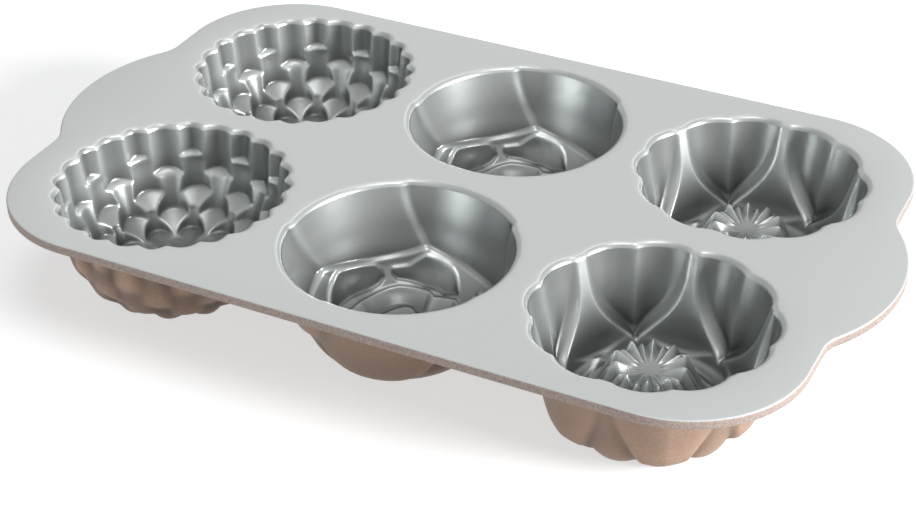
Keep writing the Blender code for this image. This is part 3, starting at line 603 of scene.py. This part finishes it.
def outer_surface(flower, degrees, rings, sizes):
    """The outside: a fuller section pushed along its normals by its own petals, down to the rest plane.

    What the outside lacks to that plane at its deepest point is added towards the foot.
    """
    columns = degrees.shape[1]
    if flower == "dahlia":
        core = Section(DAHLIA_CORE, DAHLIA_EASING)
        run = np.outer(np.linspace(0, core.length, rings), np.ones(columns))
        turned = np.tile(degrees[:1], (rings, 1))
        push = dahlia_push(turned, run, core, *DAHLIA_OUT, DAHLIA_OUT_BLEND)
    elif flower == "rose":
        core = Section(ROSE_CORE, ROSE_EASING)
        run = np.outer(np.linspace(0, core.length, rings), np.ones(columns))
        turned = degrees[:1] - rose_twist(np.minimum(run, ROSE_TWIST_RUN))
        push = rose_outside(turned, run, core)
    else:
        core = Section(LOTUS_CORE, LOTUS_OUT_EASING)
        run = np.outer(np.linspace(0, core.length, rings), np.ones(columns))
        turned = np.tile(degrees[:1], (rings, 1))
        push = lotus_outside(turned, run, core.at(run)[0])
    radius, depth, n_out, n_down = core.at(run)
    keep = np.clip(radius / OUTER_POLE, 0, 1)
    push = softened(push * keep + (1 - keep) * push.mean(axis=1, keepdims=True), 2)
    outer_radius = np.maximum(radius + n_out * push, 0.0)
    outer_depth = depth + n_down * np.clip(run / TOP_RUN, 0, 1) * push
    outer_depth += (PAN_HEIGHT - outer_depth.max()) * np.clip((depth - FOOT_DEPTHS[0]) / FOOT_DEPTHS[1], 0, 1)
    outer_depth = np.minimum(outer_depth, PAN_HEIGHT)
    outer_depth[0] = sizes.deck_thickness / MM
    outer_radius[-1] = 0.0
    return outer_radius, outer_depth, turned, -hollows(push)


def build_cups(flower, columns):
    """Both cups of a flower, each in its own place in the pan."""
    sizes = bpy.context.scene.pan_sizes
    for row in ROWS:
        node = f"{flower}_cup_{row}"
        middle_x, middle_y, flange = cup_place(node)
        surface = cup_surface(flower, columns, sizes.rings, flange + SEAT_GAP, sizes)
        radius, degrees, depth, hollow, starts = surface
        under = starts[2] + 1
        radius[under:] = np.minimum(radius[under:], flange - UNDER_GAP)
        angle = np.radians(degrees)
        x = (middle_x + radius * np.cos(angle)) * MM
        y = (middle_y + radius * np.sin(angle)) * MM
        z = PAN_HIGH[2] - depth * MM
        finishes = (cup_finish(), deck_finish(), under_finish())
        mesh = wrapped_mesh(f"{flower}_{row}", x, y, z, hollow, starts, finishes)
        link_piece(f"{flower}_{row}", mesh, node)


# The deck

LOBE_STEPS, FILLET_STEPS, CORNER_STEPS, RIM_STEPS = 30, 12, 36, 5
CUP_COLUMNS = {"dahlia": 440, "rose": 400, "lotus": 432}


def arc(middle_x, middle_y, radius, start, end, steps):
    """Points on an arc between two angles in radians, both ends included."""
    turn = np.linspace(start, end, steps + 1)
    return np.stack([middle_x + radius * np.cos(turn), middle_y + radius * np.sin(turn)], -1)


def deck_outline(sizes):
    """The deck's edge: handle lobe, fillet and corner for a quarter, mirrored twice, anticlockwise."""
    half_length = DECK_HIGH[0] / MM - sizes.handle_reach / MM
    half_width = DECK_HIGH[1] / MM
    lobe, fillet, corner = sizes.handle_radius / MM, sizes.handle_fillet / MM, sizes.corner_radius / MM
    handle_x = half_length + sizes.handle_reach / MM - lobe
    fillet_x = half_length + fillet
    fillet_y = math.sqrt((lobe + fillet) ** 2 - (fillet_x - handle_x) ** 2)
    turn = math.atan2(fillet_y, fillet_x - handle_x)
    quarter = np.vstack([
        arc(handle_x, 0, lobe, 0, turn, LOBE_STEPS),
        arc(fillet_x, fillet_y, fillet, math.pi + turn, math.pi, FILLET_STEPS)[1:],
        arc(half_length - corner, half_width - corner, corner, 0, math.pi / 2, CORNER_STEPS),
    ])
    left = quarter[::-1] * (-1, 1)
    upper = np.vstack([quarter, left])
    lower = upper[::-1] * (1, -1)
    return np.vstack([upper, lower[1:-1]])


def ring_quads(first, rings, columns):
    """Quads between neighbouring rings of points that begin at an index, closed round each ring."""
    index = first + np.arange(rings * columns).reshape(rings, columns)
    beside = np.roll(index, -1, 1)
    return np.stack([index[:-1], index[1:], beside[1:], beside[:-1]], -1).reshape(-1, 4)


def build_deck_mesh(sizes):
    """The deck: its rim is a rounded profile carried round the outline, and each seat's wall is a ring.

    The profile moves along the outline's normals. Both flats are filled between the rim and the seats.
    """
    outline = deck_outline(sizes)
    ahead = np.roll(outline, -1, 0) - np.roll(outline, 1, 0)
    normal = np.stack([ahead[:, 1], -ahead[:, 0]], -1) / np.hypot(*ahead.T)[:, None]
    edge = sizes.edge_round / MM
    thickness = sizes.deck_thickness / MM
    turn = np.linspace(0, math.pi / 2, RIM_STEPS + 1)
    inset = np.concatenate([edge * (1 - np.sin(turn)), edge * (1 - np.cos(turn))])[:, None, None]
    down = np.concatenate([edge * (1 - np.cos(turn)), thickness - edge * (1 - np.sin(turn))])[:, None]
    rim = (outline - normal * inset) * MM
    heights = PAN_HIGH[2] - down * MM + 0 * rim[:, :, 0]
    points = [np.dstack([rim, heights]).reshape(-1, 3)]
    quads = [ring_quads(0, len(inset), len(outline))]
    first = len(points[0])
    for flower, columns in CUP_COLUMNS.items():
        shift = ROSE_TURN if flower == "rose" else 0.0
        angle = np.radians(np.arange(columns) * 360.0 / columns + shift)
        for row in ROWS:
            middle_x, middle_y, flange = cup_place(f"{flower}_cup_{row}")
            seat = (flange + SEAT_GAP) * MM
            x, y = middle_x * MM + seat * np.cos(angle), middle_y * MM + seat * np.sin(angle)
            top = np.column_stack([x, y, np.full(columns, PAN_HIGH[2])])
            points.append(np.vstack([top - (0, 0, thickness * MM), top]))
            quads.append(ring_quads(first, 2, columns))
            first += 2 * columns
    mesh = bpy.data.meshes.new("deck")
    mesh.from_pydata(np.vstack(points).tolist(), [], np.vstack(quads).tolist())
    bm = bmesh.new()
    bm.from_mesh(mesh)
    middle = PAN_HIGH[2] - thickness * MM / 2
    for up in (1, -1):
        edges = [line for line in bm.edges if line.is_boundary and (line.verts[0].co.z - middle) * up > 0]
        bmesh.ops.triangle_fill(bm, use_beauty=True, use_dissolve=False, edges=edges, normal=(0, 0, up))
    bmesh.ops.recalc_face_normals(bm, faces=bm.faces)
    bm.to_mesh(mesh)
    bm.free()
    return mesh


# Finishes

FOOT_HEIGHTS = (0.004, 0.030)  # between these heights a finish goes from its darkened foot to its full colour: painted shade, darker towards the bottom of the pan
HOLLOW_SPAN = (-1.0, 1.5)  # how hollow or proud a place is, in millimetres, where the painted shade and painted highlight stop changing
GRAIN_DETAIL = 2.0
GRAIN_LIFT = 0.00005


def named_group(name, outputs, inputs):
    """A shader node group with its sockets, or the one that was made before."""
    group = bpy.data.node_groups.get(name)
    if group:
        return group, False
    group = bpy.data.node_groups.new(name, "ShaderNodeTree")
    for label, kind, default in inputs:
        socket = group.interface.new_socket(name=label, in_out="INPUT", socket_type=kind)
        socket.default_value = default
    for label, kind in outputs:
        group.interface.new_socket(name=label, in_out="OUTPUT", socket_type=kind)
    return group, True


def grain_group():
    """Fine coating grain: a small even noise that shades the colour and roughness and lifts the surface."""
    group, fresh = named_group(
        "coating_grain",
        (("Shade", "NodeSocketFloat"), ("Rough", "NodeSocketFloat"), ("Height", "NodeSocketFloat")),
        (("Scale", "NodeSocketFloat", 1200.0), ("Depth", "NodeSocketFloat", 0.1)),
    )
    if not fresh:
        return group
    nodes, links = group.nodes, group.links
    start, end = nodes.new("NodeGroupInput"), nodes.new("NodeGroupOutput")
    place = nodes.new("ShaderNodeTexCoord")
    noise = nodes.new("ShaderNodeTexNoise")
    noise.inputs["Detail"].default_value = GRAIN_DETAIL
    links.new(place.outputs["Object"], noise.inputs["Vector"])
    links.new(start.outputs["Scale"], noise.inputs["Scale"])
    centred = nodes.new("ShaderNodeMath")
    centred.operation = "SUBTRACT"
    centred.inputs[1].default_value = 0.5
    links.new(noise.outputs["Fac"], centred.inputs[0])
    shade = nodes.new("ShaderNodeMath")
    shade.operation = "MULTIPLY_ADD"
    shade.inputs[2].default_value = 1.0
    links.new(centred.outputs[0], shade.inputs[0])
    links.new(start.outputs["Depth"], shade.inputs[1])
    links.new(shade.outputs[0], end.inputs["Shade"])
    links.new(centred.outputs[0], end.inputs["Rough"])
    links.new(noise.outputs["Fac"], end.inputs["Height"])
    return group


def set_range(node, source, target):
    """Give a Map Range node the two ends that it reads and the two that it puts out."""
    for socket, value in zip(("From Min", "From Max", "To Min", "To Max"), (*source, *target)):
        node.inputs[socket].default_value = value


def coated(
    name, colour, metallic, roughness, grain_scale, grain_depth, rough_swing, bump, painted_foot_shade=1.0, painted_crease_shade=0.0,
):
    """A coated metal: its colour shaded by the grain, its roughness swung by it, and a fine bump.

    The colour darkens towards the foot of the pan, down to the share that deep names, as painted shade.
    It darkens by worn for each millimetre that a place is hollow, as painted shade, and lightens where it
    stands proud, as painted highlight.
    """
    material = bpy.data.materials.get(name)
    if material:
        return material
    material = bpy.data.materials.new(name)
    material.use_nodes = True
    nodes, links = material.node_tree.nodes, material.node_tree.links
    shader = nodes["Principled BSDF"]
    shader.inputs["Metallic"].default_value = metallic
    grain = nodes.new("ShaderNodeGroup")
    grain.node_tree = grain_group()
    grain.inputs["Scale"].default_value = grain_scale
    grain.inputs["Depth"].default_value = grain_depth
    tint = nodes.new("ShaderNodeVectorMath")
    tint.operation = "SCALE"
    tint.inputs[0].default_value = colour[:3]
    place = nodes.new("ShaderNodeTexCoord")
    height = nodes.new("ShaderNodeSeparateXYZ")
    # painted shade: the colour darkens towards the foot of the pan, between FOOT_HEIGHTS
    height_shade = nodes.new("ShaderNodeMapRange")
    set_range(height_shade, FOOT_HEIGHTS, (painted_foot_shade, 1.0))
    # painted shade in the relief's hollows and painted highlight where it stands proud, from the hollow
    # attribute
    hollow = nodes.new("ShaderNodeAttribute")
    hollow.attribute_name = "hollow"
    edge = nodes.new("ShaderNodeMapRange")
    set_range(edge, HOLLOW_SPAN, (1 - painted_crease_shade * HOLLOW_SPAN[0], 1 - painted_crease_shade * HOLLOW_SPAN[1]))
    painted_shading = nodes.new("ShaderNodeMath")
    painted_shading.operation = "MULTIPLY"
    links.new(hollow.outputs["Fac"], edge.inputs["Value"])
    links.new(edge.outputs["Result"], painted_shading.inputs[0])
    links.new(height_shade.outputs["Result"], painted_shading.inputs[1])
    shaded = nodes.new("ShaderNodeMath")
    shaded.operation = "MULTIPLY"
    links.new(place.outputs["Object"], height.inputs[0])
    links.new(height.outputs["Z"], height_shade.inputs["Value"])
    links.new(painted_shading.outputs[0], shaded.inputs[0])
    links.new(grain.outputs["Shade"], shaded.inputs[1])
    links.new(shaded.outputs[0], tint.inputs["Scale"])
    links.new(tint.outputs[0], shader.inputs["Base Color"])
    rough = nodes.new("ShaderNodeMath")
    rough.operation = "MULTIPLY_ADD"
    rough.inputs[1].default_value = rough_swing
    rough.inputs[2].default_value = roughness
    links.new(grain.outputs["Rough"], rough.inputs[0])
    links.new(rough.outputs[0], shader.inputs["Roughness"])
    lift = nodes.new("ShaderNodeBump")
    lift.inputs["Strength"].default_value = bump
    lift.inputs["Distance"].default_value = GRAIN_LIFT
    links.new(grain.outputs["Height"], lift.inputs["Height"])
    links.new(lift.outputs["Normal"], shader.inputs["Normal"])
    return material


def cup_finish():
    """The satin release coating inside the cups."""
    # painted shade: darker towards the cups' floors and in the relief's hollows; painted highlight on its
    # ridges
    return coated(
        "release_satin", bpy.context.scene.pan_finish.release, metallic=0.68, roughness=0.31,
        grain_scale=1500, grain_depth=0.10, rough_swing=0.10, bump=0.08, painted_foot_shade=0.42, painted_crease_shade=0.45)


def deck_finish():
    """The same coating on the deck and the cups' flanges, which is more matte there."""
    return coated(
        "release_matte", bpy.context.scene.pan_finish.deck, metallic=0.25, roughness=0.50,
        grain_scale=1500, grain_depth=0.10, rough_swing=0.10, bump=0.10)


def under_finish():
    """The rose-bronze coating of the underside."""
    # painted shade: darker towards the floor and in the outside's creases; painted highlight on its proud
    # places
    return coated(
        "under_bronze", bpy.context.scene.pan_finish.bronze, metallic=0.35, roughness=0.48,
        grain_scale=900, grain_depth=0.5, rough_swing=0.2, bump=0.25, painted_foot_shade=0.7, painted_crease_shade=0.5)


def rim_finish():
    """The same on the rim's side, which looks greyer and more speckled."""
    # greyer than the underside's bronze, as the rim is, and lighter as painted light for its front faces,
    # which the lamps barely reach
    return coated(
        "rim_bronze", bpy.context.scene.pan_finish.rim, metallic=0.30, roughness=0.50,
        grain_scale=1300, grain_depth=1.3, rough_swing=0.3, bump=0.35)


# Settings


class PanSizes(bpy.types.PropertyGroup):
    """Sizes of the drawn pan that don't come from the frame"""

    deck_thickness: FloatProperty(
        name="Deck thickness", description="Height of the deck's rim", default=0.0045, unit="LENGTH")
    edge_round: FloatProperty(
        name="Edge round", description="Radius on the rim", default=0.0009, unit="LENGTH")
    lip_radius: FloatProperty(
        name="Lip radius", description="Radius of each cup's lip", default=0.003, unit="LENGTH")
    handle_reach: FloatProperty(
        name="Handle reach", description="How far a handle stands out", default=0.016, unit="LENGTH")
    handle_radius: FloatProperty(
        name="Handle radius", description="Radius of a handle's lobe", default=0.0744, unit="LENGTH")
    handle_fillet: FloatProperty(
        name="Handle fillet", description="Radius beside a handle", default=0.017, unit="LENGTH")
    corner_radius: FloatProperty(
        name="Corner radius", description="Radius of the deck's corners", default=0.0525, unit="LENGTH")
    rings: IntProperty(name="Rings", description="Rings down the inside of a cup", default=150, min=40)


class PanFinish(bpy.types.PropertyGroup):
    """Colours of the coatings and the floor"""

    release: FloatVectorProperty(
        name="Release coating", description="Colour inside the cups", subtype="COLOR",
        default=(0.42, 0.442, 0.436))
    deck: FloatVectorProperty(
        name="Deck coating", description="Colour of the deck's top", subtype="COLOR",
        default=(0.60, 0.62, 0.605))
    bronze: FloatVectorProperty(
        name="Under coating", description="Colour of the underside", subtype="COLOR",
        default=(0.36, 0.245, 0.18))
    # greyer than the bronze, as the rim is, and lighter as painted light for its dimly lit front
    rim: FloatVectorProperty(
        name="Rim coating", description="Colour of the rim's side", subtype="COLOR",
        default=(0.44, 0.355, 0.315))
    floor: FloatVectorProperty(
        name="Floor", description="Colour of the floor", subtype="COLOR", default=(0.62, 0.62, 0.62))


# Operators


class BuildDeck(bpy.types.Operator):
    """Build the deck with its handle lobes and six seats"""

    bl_idname = "pan.build_deck"
    bl_label = "Deck"

    def execute(self, context):
        mesh = build_deck_mesh(context.scene.pan_sizes)
        mesh.materials.append(deck_finish())
        mesh.materials.append(rim_finish())
        mesh.materials.append(under_finish())
        normals = np.empty(len(mesh.polygons) * 3)
        mesh.polygons.foreach_get("normal", normals)
        rise = normals.reshape(-1, 3)[:, 2]
        slots = (rise < 0.5).astype(np.int32) + (rise < -0.5)
        mesh.polygons.foreach_set("material_index", slots.astype(np.int32))
        mesh.shade_smooth()
        mesh.set_sharp_from_angle(angle=SHARP_ANGLE)
        link_piece("deck", mesh, "deck_plate")
        return {"FINISHED"}


class BuildDahliaCups(bpy.types.Operator):
    """Build both dahlia cups"""

    bl_idname = "pan.build_dahlia_cups"
    bl_label = "Dahlia cups"

    def execute(self, context):
        build_cups("dahlia", CUP_COLUMNS["dahlia"])
        return {"FINISHED"}


class BuildRoseCups(bpy.types.Operator):
    """Build both rose cups"""

    bl_idname = "pan.build_rose_cups"
    bl_label = "Rose cups"

    def execute(self, context):
        build_cups("rose", CUP_COLUMNS["rose"])
        return {"FINISHED"}


class BuildLotusCups(bpy.types.Operator):
    """Build both lotus cups"""

    bl_idname = "pan.build_lotus_cups"
    bl_label = "Lotus cups"

    def execute(self, context):
        build_cups("lotus", CUP_COLUMNS["lotus"])
        return {"FINISHED"}


class BuildStage(bpy.types.Operator):
    """Lay the pale floor, light it softly and set the camera at the photograph's angle"""

    bl_idname = "pan.build_stage"
    bl_label = "Stage"

    def execute(self, context):
        build_floor(context.scene)
        build_light(context.scene)
        build_camera(context.scene)
        return {"FINISHED"}


# The stage: the lamps shine from their directions, and the camera's values were fitted to the photograph

FLOOR_HALF = 4.0
FLOOR_GLOW = 0.63
FLOOR_ROUGHNESS = 0.9
FLOOR_GLOSS = 0.1
SKY_COLOUR = (0.88, 0.95, 1.0, 1.0)
SKY_STRENGTH = 0.12
LAMPS = (  # name, direction, energy and width in degrees
    ("side_softbox", (0.955, 0.05, 0.29), 5.4, 20),
    ("top_softbox", (0.15, -0.10, 0.98), 0.75, 30),
)
CUP_PITCH = 0.113
AZIMUTH, ELEVATION, ROLL = math.radians(26.657), math.radians(33.80), math.radians(-0.5255)
AIM_SHARES = (0.2245, -0.4872)  # the aim on the deck's top and the camera's distance, in cup pitches
DISTANCE_SHARE = 7.2542
FOCAL_PIXELS, PHOTO_PIXELS = 1984.21, 916.0
SENSOR_WIDTH = 36.0


def seen_straight_or_mirrored(tree):
    """One for rays from the camera, a gloss or a transmission, and nothing for light that falls on things."""
    path = tree.nodes.new("ShaderNodeLightPath")
    either = path.outputs["Is Camera Ray"]
    for label in ("Is Glossy Ray", "Is Transmission Ray"):
        larger = tree.nodes.new("ShaderNodeMath")
        larger.operation = "MAXIMUM"
        tree.links.new(either, larger.inputs[0])
        tree.links.new(path.outputs[label], larger.inputs[1])
        either = larger.outputs[0]
    return either


def build_floor(scene):
    """A pale floor: part of its white is its own to the eye, so that the shadow on it stays light."""
    mesh = bpy.data.meshes.new("floor")
    half = FLOOR_HALF
    corners = [(-half, -half, 0), (half, -half, 0), (half, half, 0), (-half, half, 0)]
    mesh.from_pydata(corners, [], [(0, 1, 2, 3)])
    floor = bpy.data.objects.new("floor", mesh)
    scene.collection.objects.link(floor)
    material = bpy.data.materials.new("floor")
    material.use_nodes = True
    tree = material.node_tree
    shader = tree.nodes["Principled BSDF"]
    shader.inputs["Base Color"].default_value = (*scene.pan_finish.floor, 1.0)
    shader.inputs["Roughness"].default_value = FLOOR_ROUGHNESS
    shader.inputs["Specular IOR Level"].default_value = FLOOR_GLOSS
    white = tree.nodes.new("ShaderNodeEmission")
    share = tree.nodes.new("ShaderNodeMath")
    share.operation = "MULTIPLY"
    share.inputs[1].default_value = FLOOR_GLOW
    tree.links.new(seen_straight_or_mirrored(tree), share.inputs[0])
    tree.links.new(share.outputs[0], white.inputs["Strength"])
    both = tree.nodes.new("ShaderNodeAddShader")
    tree.links.new(shader.outputs["BSDF"], both.inputs[0])
    tree.links.new(white.outputs["Emission"], both.inputs[1])
    tree.links.new(both.outputs["Shader"], tree.nodes["Material Output"].inputs["Surface"])
    mesh.materials.append(material)


def build_light(scene):
    """A white surround that lights the pan faintly, a soft low sun from the right and a faint one above."""
    world = bpy.data.worlds.new("studio")
    scene.world = world
    world.use_nodes = True
    tree = world.node_tree
    back = tree.nodes["Background"]
    back.inputs["Color"].default_value = SKY_COLOUR
    back.inputs["Strength"].default_value = SKY_STRENGTH
    white = tree.nodes.new("ShaderNodeBackground")
    white.inputs["Color"].default_value = (1.0, 1.0, 1.0, 1.0)
    both = tree.nodes.new("ShaderNodeMixShader")
    tree.links.new(seen_straight_or_mirrored(tree), both.inputs["Fac"])
    tree.links.new(back.outputs["Background"], both.inputs[1])
    tree.links.new(white.outputs["Background"], both.inputs[2])
    tree.links.new(both.outputs["Shader"], tree.nodes["World Output"].inputs["Surface"])
    for name, toward, energy, spread in LAMPS:
        sun = bpy.data.lights.new(name, "SUN")
        sun.energy = energy
        sun.angle = math.radians(spread)
        lamp = bpy.data.objects.new(name, sun)
        scene.collection.objects.link(lamp)
        lamp.location = toward
        lamp.rotation_euler = (-Vector(toward)).to_track_quat("-Z", "Y").to_euler()


def build_camera(scene):
    """The camera stands back from its aim along its azimuth and elevation, rolled a little."""
    level_reach = math.cos(ELEVATION)
    back = Vector((math.sin(AZIMUTH) * level_reach, -math.cos(AZIMUTH) * level_reach, math.sin(ELEVATION)))
    level = (-back).cross(Vector((0, 0, 1))).normalized()
    above = level.cross(-back)
    right = math.cos(ROLL) * level + math.sin(ROLL) * above
    up = -math.sin(ROLL) * level + math.cos(ROLL) * above
    aim = Vector((AIM_SHARES[0] * CUP_PITCH, AIM_SHARES[1] * CUP_PITCH, PAN_HIGH[2]))
    place = aim + back * (DISTANCE_SHARE * CUP_PITCH)
    lens = bpy.data.cameras.new("camera")
    lens.sensor_width = SENSOR_WIDTH
    lens.lens = FOCAL_PIXELS * SENSOR_WIDTH / PHOTO_PIXELS
    camera = bpy.data.objects.new("camera", lens)
    scene.collection.objects.link(camera)
    camera.matrix_world = Matrix((
        (right.x, up.x, back.x, place.x),
        (right.y, up.y, back.y, place.y),
        (right.z, up.z, back.z, place.z),
        (0, 0, 0, 1),
    ))
    scene.camera = camera


class PanPanel(bpy.types.Panel):
    """The pan's operators, sizes and colours"""

    bl_idname = "VIEW3D_PT_cakelet_pan"
    bl_label = "Cakelet pan"
    bl_space_type = "VIEW_3D"
    bl_region_type = "UI"
    bl_category = "Cakelet pan"

    def draw(self, context):
        layout = self.layout
        for operator in OPERATORS:
            layout.operator(operator.bl_idname)
        for group in (context.scene.pan_sizes, context.scene.pan_finish):
            box = layout.box()
            for label in group.bl_rna.properties.keys():
                if label not in ("rna_type", "name"):
                    box.prop(group, label)


OPERATORS = (BuildDeck, BuildDahliaCups, BuildRoseCups, BuildLotusCups, BuildStage)
CLASSES = (PanSizes, PanFinish) + OPERATORS + (PanPanel,)


def register():
    for each in CLASSES:
        bpy.utils.register_class(each)
    bpy.types.Scene.pan_sizes = PointerProperty(type=PanSizes)
    bpy.types.Scene.pan_finish = PointerProperty(type=PanFinish)


def unregister():
    del bpy.types.Scene.pan_finish
    del bpy.types.Scene.pan_sizes
    for each in reversed(CLASSES):
        bpy.utils.unregister_class(each)


def main():
    """Build every piece and the stage."""
    register()
    bpy.context.scene.view_settings.view_transform = "Standard"
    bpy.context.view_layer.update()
    bpy.ops.pan.build_deck()
    bpy.ops.pan.build_dahlia_cups()
    bpy.ops.pan.build_rose_cups()
    bpy.ops.pan.build_lotus_cups()
    bpy.ops.pan.build_stage()


if __name__ == "__main__":
    main()
